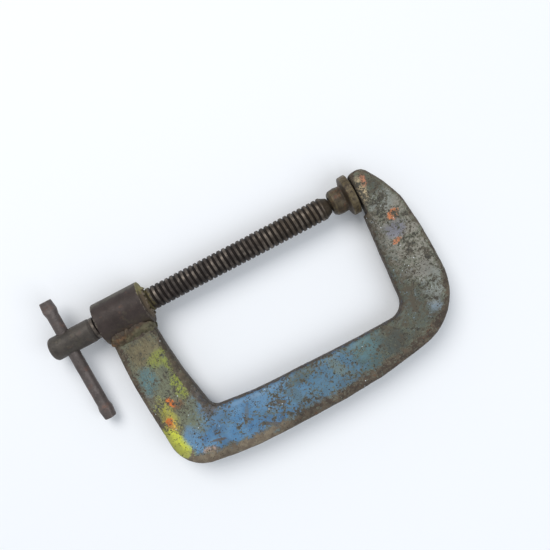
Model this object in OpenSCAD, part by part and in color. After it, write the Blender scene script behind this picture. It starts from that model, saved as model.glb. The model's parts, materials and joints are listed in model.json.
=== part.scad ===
// Heavy-duty C clamp: a forged C-shaped frame with a screw boss welded across one arm,
// a coarse screw with a sliding tommy bar, and a swivel pad held on the screw's ball tip.
// The origin is the centre of the anvil face. +X runs along the screw from its head to
// the anvil, +Y points out of the clamp's open side and +Z is normal to the frame's flat.

/* [Frame] */
// Distance from the anvil face to the boss's inner end
jaw_span = 212.5; // [200:0.5:240]
// Distance from the screw's axis to the spine's inner edge
throat = 116; // [105:1:130]
// Width of the spine
spine_w = 45.5; // [40:0.5:55]
// Width of the boss arm
boss_arm_w = 42; // [38:0.5:44]
// Depth of the anvil arm behind the anvil face
anvil_arm_w = 38.5; // [32:0.5:42]
// Thickness of the frame
frame_t = 19.5; // [16:0.5:24]
// Width of the rounded shoulder along the frame's edges
shoulder_w = 5.5; // [3:0.5:6]

/* [Boss] */
// Outer diameter of the screw boss
boss_d = 40.6; // [36:0.1:44]
// Length of the screw boss
boss_len = 45.5; // [43:0.5:50]
// Radius of the weld beads
weld_r = 4; // [3:0.1:4.5]

/* [Screw] */
// Major diameter of the screw
screw_d = 21; // [19:0.05:22]
// Pitch of the thread
pitch = 4.8; // [4:0.01:6]
// Depth of the thread
thread_depth = 2; // [1.5:0.1:3]
// Diameter of the plain head
head_d = 22; // [21:0.1:24]
// Length of the plain head
head_len = 41.4; // [38:0.1:46]
// Distance from the head's end to the tommy bar's axis
bar_inset = 16.2; // [14:0.1:20]
// Running clearance between the screw and its boss, on the radius
screw_play = 0.08; // [0.05:0.01:0.1]

/* [Tommy bar] */
// Diameter of the tommy bar
bar_d = 11.2; // [8:0.1:11.4]
// Length of the tommy bar
bar_len = 120.5; // [100:0.5:140]
// Length of the bar on the clamp's open side of the screw
bar_short = 42; // [40:1:60]
// Angle by which the bar's long end hangs below the frame's plane
bar_tilt = 7.5; // [0:0.5:12]
// Clearance of the bar in its hole, on the radius
bar_play = 0.25; // [0.15:0.05:0.4]

/* [Swivel pad] */
// Gap left between the pad and the anvil
pad_gap = 2.7; // [2.2:0.1:6]
// Diameter of the pad's flange
pad_d = 37.4; // [34:0.1:40]
// Largest diameter of the pad's hub
hub_d = 25; // [24:0.1:27]
// Length of the pad along the screw
pad_len = 22.3; // [21:0.1:28]
// Diameter of the ball on the screw's tip
ball_d = 14; // [13:0.1:15]
// Clearance of the ball in its socket, on the radius
ball_play = 0.3; // [0.2:0.05:0.4]

/* [Hidden] */

boss_r = boss_d / 2;
boss_inner_x = -jaw_span;
boss_outer_x = boss_inner_x - boss_len;
spine_y = -throat - spine_w;
// the anvil face is cut this deep into its arm, from the face's root up past the nose
face_cut = 2.5;
face_root_y = -22.5;
nose_y = 17;

thread_start_x = boss_outer_x - 8.5;
head_end_x = thread_start_x - head_len;
bar_x = head_end_x + bar_inset;
root_r = screw_d / 2 - thread_depth;

pad_face_x = -pad_gap;
pad_back_x = pad_face_x - pad_len;
ball_x = pad_face_x - 13.3;
flange_t = 7;
flange_back_t = 2.2;
mouth_r = 5.7;
neck_r = 4.8;
thread_end_x = pad_back_x - 7.8;
// the threaded shaft ends in a cone down to this radius, where the neck starts
cone_tip_r = 7;

// The frame's outline, followed from the boss arm's end to the anvil's nose. Each entry has
// an outer and an inner corner as [x, y, fillet radius], and the steps of their arcs.
outline = [
  [[boss_outer_x + 3.2, -6, 7], [boss_outer_x + boss_arm_w - 0.6, -6, 7], 4],
  [[boss_outer_x + 1.4, -throat / 2, 150], [boss_inner_x - 0.3, -throat / 2, 200], 1],
  [[boss_outer_x + 8.3, spine_y + 10, 33], [boss_inner_x + 10, -throat + 5, 9], 11],
  [[boss_outer_x + 77, spine_y, 300], [-jaw_span * 0.75, -throat, 300], 2],
  [[-55.5, spine_y + 1.5, 400], [-55.5, -throat - 1, 300], 2],
  [[anvil_arm_w + 1, spine_y + 21, 58], [-10, -throat, 16], 11],
  [[anvil_arm_w, -throat / 2, 200], [-6, -throat / 2, 200], 2],
  [[anvil_arm_w - 4, face_root_y, 40], [-3, face_root_y, 100], 4],
  [[anvil_arm_w - 12, -3, 60], [-face_cut, -3, 200], 3],
  [[14, nose_y, 10], [-face_cut, nose_y - 1, 7], 7]
];

// The frame's edge from one flat to the other, as [inset from the outline, z].
edge_profile = [
  [shoulder_w, -frame_t / 2],
  [shoulder_w * 0.32, -frame_t * 0.41],
  [0, -frame_t * 0.25],
  [0, frame_t * 0.25],
  [shoulder_w * 0.32, frame_t * 0.41],
  [shoulder_w, frame_t / 2]
];

// The points of a closed loop of filleted corners, moved inwards by inset. The count of
// points doesn't depend on inset, so rings of one outline join in flat strips.
function ring(corners, steps, inset) = [
  for (i = [0 : len(corners) - 1])
    let (
      count = len(corners),
      corner = corners[i],
      before = corners[(i + count - 1) % count],
      after = corners[(i + 1) % count],
      heading = atan2(corner.y - before.y, corner.x - before.x),
      next_heading = atan2(after.y - corner.y, after.x - corner.x),
      turn = (next_heading - heading + 540) % 360 - 180,
      side = sign(turn),
      to_centre = heading + turn / 2 + 90 * side,
      centre = [corner.x, corner.y] + corner.z / cos(turn / 2) * [cos(to_centre), sin(to_centre)],
      radius = corner.z - side * inset
    )
      for (k = [0 : steps[i]])
        let (angle = heading + turn * k / steps[i] - 90 * side)
          centre + radius * [cos(angle), sin(angle)]
];

// A closed solid whose cross-sections are an outline's rings, one for each point of the
// edge profile. Its two flats are strips of triangles between outer and inner corners.
module ringed_plate(path, profile) {
  last = len(path) - 1;
  corners = concat([for (p = path) p[0]], [for (i = [last : -1 : 0]) path[i][1]]);
  steps = concat([for (p = path) p[2]], [for (i = [last : -1 : 0]) path[i][2]]);
  rings = [
    for (p = profile) [for (q = ring(corners, steps, p[0])) [q.x, q.y, p[1]]]
  ];
  count = len(rings[0]);
  top = (len(profile) - 1) * count;
  polyhedron(
    points = [for (r = rings) each r],
    faces = [
      for (i = [0 : count / 2 - 2])
        let (across = count - 1 - i)
          each [
            [i, i + 1, across],
            [i + 1, across - 1, across],
            [top + i, top + across, top + i + 1],
            [top + i + 1, top + across, top + across - 1]
          ],
      for (j = [0 : len(profile) - 2])
        for (i = [0 : count - 1])
          let (low = j * count, high = low + count, next = (i + 1) % count)
            [low + i, high + i, high + next, low + next]
    ],
    convexity = 6
  );
}

// Turns a [radius, x] profile about the screw's axis.
module turned(profile) {
  rotate([90, 0, 90])
    rotate_extrude($fn = 96)
      polygon(profile);
}

module frame() {
  color([0.30, 0.45, 0.58])
    difference() {
      ringed_plate(outline, edge_profile);
      // the saddle that seats the boss
      translate([boss_outer_x - 5, 0, 0])
        rotate([0, 90, 0])
          cylinder(r = boss_r, h = boss_len + 10, $fn = 96);
      // the anvil face
      translate([-face_cut - 5, face_root_y, -frame_t])
        cube([face_cut + 5, nose_y - face_root_y + 5, 2 * frame_t]);
    }
}

module screw_boss() {
  bore_r = screw_d / 2 + screw_play;
  edge = 0.8;
  mouth = 2.4;
  color([0.28, 0.25, 0.22])
    turned([
      [bore_r, boss_outer_x + 1],
      [bore_r + 1, boss_outer_x],
      [boss_r - edge, boss_outer_x],
      [boss_r, boss_outer_x + edge],
      [boss_r, boss_inner_x - edge],
      [boss_r - edge, boss_inner_x],
      [bore_r + mouth, boss_inner_x],
      [bore_r, boss_inner_x - mouth]
    ]);
}

// A rod with round ends along +X, centred on the origin.
module bead(length) {
  rotate([0, 90, 0])
    cylinder(r = weld_r, h = length, center = true, $fn = 32);
  for (end = [-0.5, 0.5])
    translate([end * length, 0, 0])
      sphere(r = weld_r, $fn = 32);
}

module boss_blank() {
  translate([boss_outer_x, 0, 0])
    rotate([0, 90, 0])
      cylinder(r = boss_r, h = boss_len, $fn = 96);
}

// The fillet weld in the corner between the boss and one flat of the frame.
module weld_side(side) {
  bead_y = -18.4;
  flat_z = frame_t / 2;
  color([0.42, 0.30, 0.20])
    difference() {
      translate([boss_outer_x + boss_arm_w / 2 + 0.5, bead_y, side * (flat_z + 2.4)])
        bead(boss_arm_w - 2 * weld_r - 2);
      boss_blank();
      translate([boss_outer_x - 5, -boss_r - 10, side * (flat_z - 10) - 10])
        cube([boss_len + 10, 20, 20]);
    }
}

// The weld across the frame's edge at one end of the boss, cut off at the arm's edge.
// toward is the end that it faces along X.
module weld_end(bead_x, arm_edge_x, toward) {
  color([0.42, 0.30, 0.20])
    difference() {
      translate([bead_x, -boss_r + 0.5, 0])
        rotate([0, 90, 0])
          bead(frame_t - 2 * weld_r - 0.5);
      boss_blank();
      translate([arm_edge_x - (toward > 0 ? 20 : 0), -boss_r - 20, -20])
        cube([20, 25, 40]);
    }
}

module weld_top() {
  weld_side(1);
}

module weld_bottom() {
  weld_side(-1);
}

module weld_outer() {
  weld_end(boss_outer_x + 1.8, boss_outer_x + 2.5, -1);
}

module weld_inner() {
  weld_end(boss_inner_x - 2.6, boss_inner_x - 2.75, 1);
}

// The thread's ridges as [radius, x] points, one ridge a pitch.
function ridges() =
  let (
    crest = 0.38 * pitch,
    flank = 0.13 * pitch,
    length = thread_end_x - 1.5 - thread_start_x,
    count = floor((length - 2 * flank - crest) / pitch + 0.5)
  )
    [
      for (i = [0 : count - 1])
        let (x = thread_start_x + (i + 0.5) * pitch)
          each [
            [root_r, x],
            [screw_d / 2, x + flank],
            [screw_d / 2, x + flank + crest],
            [root_r, x + 2 * flank + crest]
          ]
    ];

module screw() {
  dome = 4;
  color([0.22, 0.19, 0.17])
    difference() {
      union() {
        turned(concat(
          [[0, head_end_x]],
          [for (a = [0 : 15 : 90]) [
            head_d / 2 - dome + dome * sin(a),
            head_end_x + dome * 0.75 * (1 - cos(a))
          ]],
          [[head_d / 2, thread_start_x - 1], [head_d / 2 - 1, thread_start_x], [root_r, thread_start_x]],
          ridges(),
          [
            [root_r, thread_end_x - 1.5],
            [screw_d / 2 - 0.7, thread_end_x],
            [cone_tip_r, pad_back_x - 1.6],
            [neck_r, pad_back_x - 1],
            [neck_r, ball_x],
            [0, ball_x]
          ]
        ));
        translate([ball_x, 0, 0])
          sphere(d = ball_d, $fn = 64);
      }
      translate([bar_x, 0, 0])
        rotate([bar_tilt - 90, 0, 0])
          cylinder(r = bar_d / 2 + bar_play, h = 2 * head_d, center = true, $fn = 64);
    }
}

// A round bar whose ends are swaged flat, so that it can't leave its hole.
module tommy_bar() {
  shank_r = bar_d / 2;
  swage_r = shank_r + 1.1;
  tip_r = swage_r - 1.1;
  swage_len = 12;
  flat_half = shank_r - 0.6;
  low = bar_short - bar_len;
  color([0.30, 0.27, 0.24])
    translate([bar_x, 0, 0])
      rotate([bar_tilt - 90, 0, 0])
        difference() {
          rotate_extrude($fn = 64)
            polygon([
              [0, low],
              [tip_r - 0.6, low],
              [tip_r, low + 0.6],
              [swage_r, low + swage_len - 1.5],
              [shank_r, low + swage_len],
              [shank_r, bar_short - swage_len],
              [swage_r, bar_short - swage_len + 1.5],
              [tip_r, bar_short - 0.6],
              [tip_r - 0.6, bar_short],
              [0, bar_short]
            ]);
          for (end_z = [low - 1, bar_short - swage_len + 1], side = [0, 180])
            rotate([0, 0, side])
              translate([-bar_d, flat_half, end_z])
                cube([2 * bar_d, bar_d, swage_len]);
        }
}

module swivel_pad() {
  rim_r = pad_d / 2;
  flange_x = pad_face_x - flange_t;
  color([0.27, 0.25, 0.19])
    difference() {
      turned([
        [0, pad_face_x],
        [rim_r - 0.6, pad_face_x],
        [rim_r, pad_face_x - 0.6],
        [rim_r, flange_x],
        [hub_d / 2 - 0.5, flange_x - flange_back_t],
        [hub_d / 2, ball_x - 1],
        [hub_d / 2 - 1.6, pad_back_x + 1],
        [hub_d / 2 - 2.8, pad_back_x],
        [0, pad_back_x]
      ]);
      translate([ball_x, 0, 0])
        sphere(r = ball_d / 2 + ball_play, $fn = 64);
      // the mouth is flared, so that the pad can tilt on the ball
      turned([
        [0, pad_back_x - 1],
        [mouth_r + 2, pad_back_x - 1],
        [mouth_r, pad_back_x + 3],
        [mouth_r, ball_x],
        [0, ball_x]
      ]);
    }
}

frame();
screw_boss();
weld_top();
weld_bottom();
weld_outer();
weld_inner();
screw();
tommy_bar();
swivel_pad();
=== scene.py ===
"""The looks of the C clamp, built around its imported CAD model. Lengths in the tables are in millimetres."""

import json
import math

import bmesh
import bpy
import numpy as np
from mathutils import Matrix, Vector, kdtree, noise


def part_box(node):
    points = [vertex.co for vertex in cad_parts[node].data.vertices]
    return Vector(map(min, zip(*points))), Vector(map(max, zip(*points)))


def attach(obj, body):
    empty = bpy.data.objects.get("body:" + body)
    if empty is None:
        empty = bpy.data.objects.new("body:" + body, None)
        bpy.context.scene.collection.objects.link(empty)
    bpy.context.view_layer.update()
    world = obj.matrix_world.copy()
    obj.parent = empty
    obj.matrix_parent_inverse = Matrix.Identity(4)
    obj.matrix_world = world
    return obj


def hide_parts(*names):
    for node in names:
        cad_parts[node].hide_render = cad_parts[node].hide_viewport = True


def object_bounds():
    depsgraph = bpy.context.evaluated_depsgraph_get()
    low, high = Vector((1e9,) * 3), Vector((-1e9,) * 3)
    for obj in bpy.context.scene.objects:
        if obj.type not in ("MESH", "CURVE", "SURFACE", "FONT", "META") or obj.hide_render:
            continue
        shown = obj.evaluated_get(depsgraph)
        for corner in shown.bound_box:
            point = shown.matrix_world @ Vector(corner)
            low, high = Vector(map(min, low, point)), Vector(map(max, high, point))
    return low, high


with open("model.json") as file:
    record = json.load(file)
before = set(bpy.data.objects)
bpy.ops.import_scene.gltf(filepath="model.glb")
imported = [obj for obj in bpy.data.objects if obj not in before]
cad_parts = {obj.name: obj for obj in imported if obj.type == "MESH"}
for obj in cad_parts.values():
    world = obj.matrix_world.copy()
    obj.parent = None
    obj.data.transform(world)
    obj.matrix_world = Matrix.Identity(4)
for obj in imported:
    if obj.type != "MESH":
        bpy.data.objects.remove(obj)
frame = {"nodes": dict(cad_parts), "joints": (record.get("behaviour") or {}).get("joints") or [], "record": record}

CAD_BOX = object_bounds()
MM = 0.001
ON_AXIS = 0.02  # a profile's ends stop this far from its axis, and surface() closes them with a point


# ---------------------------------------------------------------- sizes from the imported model

def box_mm(node):
    """A CAD node's lowest and highest corners, in millimetres."""
    low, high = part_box(node)
    return low / MM, high / MM


BOSS_LOW, BOSS_HIGH = box_mm("screw_boss")
SCREW_LOW = box_mm("screw")[0]
PAD_LOW, PAD_HIGH = box_mm("swivel_pad")
JOINTS = {joint["name"]: joint for joint in frame["joints"]}
PITCH = frame["record"]["behaviour"]["couplings"][0]["ratio"] * 2 * math.pi / MM
BALL_X = JOINTS["screw_turn"]["pos_m"][0] / MM
BAR_AXIS = Vector(JOINTS["bar_slide"]["axis"])

BOSS_R = BOSS_HIGH.z
CREST_R, ROOT_R = 10.5, 9.15
HEAD_R, HEAD_LEN, HEAD_DOME = 11.0, 41.4, 4.0
CONE_LEN = 7.8
HOLE_X, HOLE_R = SCREW_LOW.x + 16.2, 5.85
BAR_R, BAR_SHORT, BAR_LONG = 5.6, 42.0, 78.5
SWAGE_LEN, SWAGE_R, TIP_R, SWAGE_HALF = 12.0, 6.7, 5.6, 5.0
CONE_TIP_R, NECK_R, BALL_R = 7.0, 4.8, 7.0
SOCKET_GAP, MOUTH_R = 0.3, 5.7
FLANGE_LEN, HUB_R, HUB_BACK_R = 6.9, 12.4, 9.9
BORE_GAP = 0.28
LIP = 4.2
FLAT_Z = 9.75
VOXEL = 0.82


# ---------------------------------------------------------------- mesh tools

def field(points, size, octaves=1, seed=0):
    """Fractal noise at each point, about -1 to 1, with features of that size."""
    shift = Vector((17.3, 5.7, 11.1)) * seed
    return np.array([noise.fractal(Vector(p) / size + shift, 0.9, 2.1, octaves) for p in points])


def dimples(points, size, seed=0):
    """1 at the middle of scattered round spots, falling to 0 at their rims."""
    shift = Vector((3.1, 23.7, 7.9)) * seed
    near = np.array([noise.voronoi(Vector(p) / size + shift)[0][0] for p in points])
    return np.clip(1 - near / 0.42, 0, 1) ** 2


def smoothstep(value, low, high):
    t = np.clip((value - low) / (high - low), 0, 1)
    return t * t * (3 - 2 * t)


def rounded(corners, step=0.5):
    """A profile through corners (x, r, fillet radius), with arcs at the fillets and a point every step."""
    points = []
    for i, (x, r, fillet) in enumerate(corners):
        here = Vector((x, r))
        if fillet == 0 or i in (0, len(corners) - 1):
            points.append(here)
            continue
        back = (Vector(corners[i - 1][:2]) - here).normalized()
        ahead = (Vector(corners[i + 1][:2]) - here).normalized()
        half = back.angle(ahead) / 2
        cut = fillet / math.tan(half)
        centre = here + (back + ahead).normalized() * fillet / math.sin(half)
        first, last = here + back * cut - centre, here + ahead * cut - centre
        turn = first.angle_signed(last)
        count = max(3, int(abs(turn) * fillet / (step * 0.6)))
        for k in range(count + 1):
            rotated = first.copy()
            rotated.rotate(Matrix.Rotation(-turn * k / count, 2))
            points.append(centre + rotated)
    fine = [points[0]]
    for a, b in zip(points, points[1:]):
        count = max(1, round((b - a).length / step))
        fine += [a.lerp(b, k / count) for k in range(1, count + 1)]
    return np.array([tuple(p) for p in fine])


def surface(name, grid, loop=False):
    """A closed mesh from rings of points. loop joins the last ring to the first, otherwise a point
    closes each end."""
    rows, cols = grid.shape[:2]
    points = grid.reshape(-1, 3)
    row = np.arange(rows if loop else rows - 1)[:, None]
    col = np.arange(cols)[None, :]
    beside, above = (col + 1) % cols, (row + 1) % rows
    faces = np.stack([row * cols + col, row * cols + beside, above * cols + beside, above * cols + col], -1)
    faces = [tuple(f) for f in faces.reshape(-1, 4).tolist()]
    if not loop:
        ends = [(0, grid[0].mean(0)), (rows - 1, grid[-1].mean(0))]
        for end, middle in ends:
            tip = len(points)
            points = np.vstack([points, middle])
            faces += [(end * cols + c, end * cols + (c + 1) % cols, tip) for c in range(cols)]
    mesh = bpy.data.meshes.new(name)
    mesh.from_pydata((points * MM).tolist(), [], faces)
    tidy = bmesh.new()
    tidy.from_mesh(mesh)
    bmesh.ops.remove_doubles(tidy, verts=tidy.verts, dist=1e-6)
    bmesh.ops.dissolve_degenerate(tidy, edges=tidy.edges, dist=1e-7)
    bmesh.ops.recalc_face_normals(tidy, faces=tidy.faces)
    tidy.to_mesh(mesh)
    tidy.free()
    made = bpy.data.objects.new(name, mesh)
    bpy.context.scene.collection.objects.link(made)
    return made


def read(mesh, what="co"):
    """A mesh's vertex places in millimetres, or its vertex normals."""
    source = mesh.vertices if what == "co" else mesh.vertex_normals
    values = np.empty(len(mesh.vertices) * 3, np.float32)
    source.foreach_get("co" if what == "co" else "vector", values)
    values = values.reshape(-1, 3).astype(float)
    return values / MM if what == "co" else values


def write(mesh, points):
    mesh.vertices.foreach_set("co", (points * MM).astype(np.float32).ravel())
    mesh.update()


def store(mesh, name, values):
    """Keeps one number a vertex, for a material to read."""
    mesh.attributes.new(name, "FLOAT", "POINT").data.foreach_set("value", values.astype(np.float32))


def convexity(mesh, rounds=3):
    """How far each vertex stands out from its neighbours, in millimetres: above 0 on an edge, below 0
    in a corner."""
    points, normals = read(mesh), read(mesh, "normal")
    ends = np.empty(len(mesh.edges) * 2, np.int32)
    mesh.edges.foreach_get("vertices", ends)
    a, b = ends.reshape(-1, 2).T
    count = np.bincount(ends, minlength=len(points))[:, None]

    def around(values):
        total = np.zeros_like(values)
        np.add.at(total, a, values[b])
        np.add.at(total, b, values[a])
        return total / count

    mean = points
    for _ in range(rounds):
        mean = around(mean)
    out = ((points - mean) * normals).sum(1)[:, None]
    return around(around(out))[:, 0]


def roughen(piece, layers, dents=()):
    """Moves a piece's surface by noise layers (size, height, octaves, seed), and presses in dents
    (size, depth, seed)."""
    points, normals = read(piece.data), read(piece.data, "normal")
    move = np.zeros(len(points))
    for size, height, octaves, seed in layers:
        move += height * field(points, size, octaves, seed)
    for size, depth, seed in dents:
        move -= depth * dimples(points, size, seed)
    write(piece.data, points + normals * move[:, None])


def shade(piece, sharp_deg=40):
    for polygon in piece.data.polygons:
        polygon.use_smooth = True
    piece.data.set_sharp_from_angle(angle=math.radians(sharp_deg))


def finish(piece, body, slot, material, *nodes):
    """Stands the piece in for its CAD nodes, on their body."""
    piece.data.materials.clear()
    piece.data.materials.append(material)
    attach(piece, body)
    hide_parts(*nodes)


def lathe(name, profile, segments, axis=None, origin=(0, 0, 0), loop=False, radius=None):
    """Turns a profile of (along, radius) points about an axis. radius(along, angle, r), if given, says
    the radius there."""
    angle = np.linspace(0, 2 * math.pi, segments, endpoint=False)[None, :]
    along = np.repeat(profile[:, :1], segments, 1)
    r = np.repeat(profile[:, 1:2], segments, 1)
    if radius:
        r = radius(along, np.repeat(angle, len(profile), 0), r)
    grid = np.stack([along, r * np.cos(angle), r * np.sin(angle)], -1)
    if axis is not None:
        turn = np.array(Vector((1, 0, 0)).rotation_difference(axis).to_matrix())
        grid = grid @ turn.T
    return surface(name, grid + np.array(origin), loop)


# ---------------------------------------------------------------- material tools

def srgb(red, green, blue):
    """A colour as seen, 0 to 255, as the shader's linear colour."""
    seen = [c / 255 for c in (red, green, blue)]
    return (*(((c + 0.055) / 1.055) ** 2.4 if c > 0.04 else c / 12.92 for c in seen), 1.0)


class Finish:
    """A procedural material, built by calls that make a node and return its output."""

    def __init__(self, name):
        self.material = bpy.data.materials.new(name)
        self.material.use_nodes = True
        self.tree = self.material.node_tree
        self.tree.nodes.clear()
        place = self.node("ShaderNodeTexCoord", {}).outputs["Object"]
        self.place = self.vector("SCALE", place, scale=1 / MM)

    def node(self, kind, inputs, **settings):
        made = self.tree.nodes.new(kind)
        for key, value in settings.items():
            setattr(made, key, value)
        for key, value in inputs.items():
            socket = made.inputs[key]
            if isinstance(value, bpy.types.NodeSocket):
                self.tree.links.new(value, socket)
            else:
                socket.default_value = value
        return made

    def vector(self, operation, a, b=(0, 0, 0), scale=1.0):
        inputs = {0: a}
        if operation == "SCALE":
            inputs["Scale"] = scale
        elif operation != "LENGTH":
            inputs[1] = b
        made = self.node("ShaderNodeVectorMath", inputs, operation=operation)
        return made.outputs["Value" if operation == "LENGTH" else "Vector"]

    def math(self, operation, a, b):
        return self.node("ShaderNodeMath", {0: a, 1: b}, operation=operation).outputs[0]

    def plus(self, a, b):
        return self.math("ADD", a, b)

    def times(self, a, b):
        return self.math("MULTIPLY", a, b)

    def most(self, a, b):
        return self.math("MAXIMUM", a, b)

    def less(self, a, b):
        return self.math("SUBTRACT", a, b)

    def sway(self, value, amount):
        """A value about 0.5 as one about 0, from minus half of amount to plus half."""
        return self.times(self.less(value, 0.5), amount)

    def no(self, a):
        return self.less(1.0, a)

    def step(self, value, low, high):
        """0 below low, 1 above high, smooth between. low may be the higher one, which turns it round."""
        if low > high:
            return self.no(self.step(value, high, low))
        inputs = {"Value": value, "From Min": low, "From Max": high}
        return self.node("ShaderNodeMapRange", inputs, interpolation_type="SMOOTHSTEP").outputs["Result"]

    def moved(self, seed, stretch=(1, 1, 1)):
        place = self.vector("MULTIPLY", self.place, stretch) if stretch != (1, 1, 1) else self.place
        return self.vector("ADD", place, (seed * 37.7, seed * 91.3, seed * 53.9))

    def noise(self, size, detail=3.0, seed=0, rough=0.55, distort=0.0, stretch=(1, 1, 1)):
        """Noise about 0.5, with features of that size in millimetres."""
        inputs = {"Vector": self.moved(seed, stretch), "Scale": 1 / size, "Detail": detail,
                  "Roughness": rough, "Distortion": distort}
        return self.node("ShaderNodeTexNoise", inputs).outputs["Fac"]

    def cells(self, size, seed):
        """Distance from the nearest of scattered points, in steps of that size."""
        inputs = {"Vector": self.moved(seed), "Scale": 1 / size}
        return self.node("ShaderNodeTexVoronoi", inputs).outputs["Distance"]

    def mix(self, share, a, b):
        made = self.node("ShaderNodeMix", {"Factor": share}, data_type="RGBA")
        for socket, value in ((made.inputs[6], a), (made.inputs[7], b)):
            if isinstance(value, bpy.types.NodeSocket):
                self.tree.links.new(value, socket)
            else:
                socket.default_value = value
        return made.outputs[2]

    def blend(self, share, a, b):
        """From number a to number b."""
        made = self.node("ShaderNodeMapRange", {"Value": share, "To Min": a, "To Max": b})
        return made.outputs["Result"]

    def kept(self, name):
        return self.node("ShaderNodeAttribute", {}, attribute_name=name).outputs["Fac"]

    def along(self, axis):
        return self.node("ShaderNodeSeparateXYZ", {0: self.place}).outputs[axis]

    def done(self, colour, roughness, metallic, heights, specular=0.5):
        """The shader, with its bump from heights (height, distance in millimetres)."""
        normal = None
        for height, distance in heights:
            inputs = {"Height": height, "Distance": distance * MM}
            if normal is not None:
                inputs["Normal"] = normal
            normal = self.node("ShaderNodeBump", inputs).outputs["Normal"]
        inputs = {"Base Color": colour, "Roughness": roughness, "Metallic": metallic,
                  "Specular IOR Level": specular}
        if normal is not None:
            inputs["Normal"] = normal
        shader = self.node("ShaderNodeBsdfPrincipled", inputs)
        self.node("ShaderNodeOutputMaterial", {"Surface": shader.outputs[0]})
        return self.material


# ---------------------------------------------------------------- materials

RUST = srgb(128, 74, 42)
DARK = srgb(44, 38, 35)


def old_steel(name, colour, light, roughness, metallic, rust, worn, seed):
    """Bare steel with a brown patina: cloudy colour, rust bloom, fine pits and brighter worn edges."""
    f = Finish(name)
    clouds = f.noise(14, 4, seed)
    fine = f.noise(1.6, 4, seed + 1, 0.65)
    colour = f.mix(f.step(clouds, 0.35, 0.65), colour, tuple(c * 0.7 for c in colour[:3]) + (1.0,))
    colour = f.mix(f.times(f.step(fine, 0.5, 0.75), 0.5), colour, light)
    bloom = f.times(f.step(f.noise(9, 5, seed + 2, 0.6), 0.52, 0.68),
                    f.step(f.noise(1.1, 3, seed + 3), 0.35, 0.6))
    colour = f.mix(f.times(bloom, rust), colour, RUST)
    pits = f.step(f.cells(1.5, seed + 4), 0.30, 0.12)
    pits = f.times(pits, f.step(f.noise(6, 2, seed + 5), 0.48, 0.6))
    colour = f.mix(f.times(pits, 0.75), colour, DARK)
    edge = f.step(f.kept("out"), *worn)
    edge = f.times(edge, f.step(f.noise(2.3, 3, seed + 6), 0.33, 0.55))
    colour = f.mix(f.times(edge, 0.75), colour, light)
    rough = f.blend(f.step(clouds, 0.3, 0.7), roughness[0], roughness[1])
    rough = f.less(f.plus(rough, f.times(f.most(bloom, pits), 0.2)), f.times(edge, 0.12))
    metal = f.times(f.no(f.most(f.times(bloom, 0.8), pits)), metallic)
    return f.done(colour, rough, metal, [(f.no(pits), 0.12), (fine, 0.05), (f.noise(4.5, 3, seed + 8), 0.12)])


BLUE = srgb(74, 119, 158)
SKY = srgb(98, 136, 168)
DEEP = srgb(56, 90, 128)
SLATE = srgb(78, 110, 128)
TEAL = srgb(88, 118, 122)
GREEN_GREY = srgb(112, 118, 98)
OLIVE = srgb(98, 90, 68)
TAN = srgb(120, 110, 82)
LIME = srgb(146, 156, 62)
YELLOW = srgb(196, 200, 68)
MUSTARD = srgb(166, 162, 70)
ORANGE = srgb(216, 116, 42)
AMBER = srgb(226, 172, 78)
MAUVE = srgb(112, 104, 105)
STONE = srgb(136, 140, 134)
PALE_BLUE = srgb(128, 144, 156)
PINK = srgb(172, 142, 118)
CREAM = srgb(186, 166, 132)
SALMON = srgb(196, 126, 92)
RED_BROWN = srgb(94, 74, 50)
SEA_GREY = srgb(80, 94, 92)
GREY_BROWN = srgb(98, 88, 80)
PLUM = srgb(124, 124, 136)
WARM_GREY = srgb(141, 137, 127)
MOSS = srgb(66, 70, 64)

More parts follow.
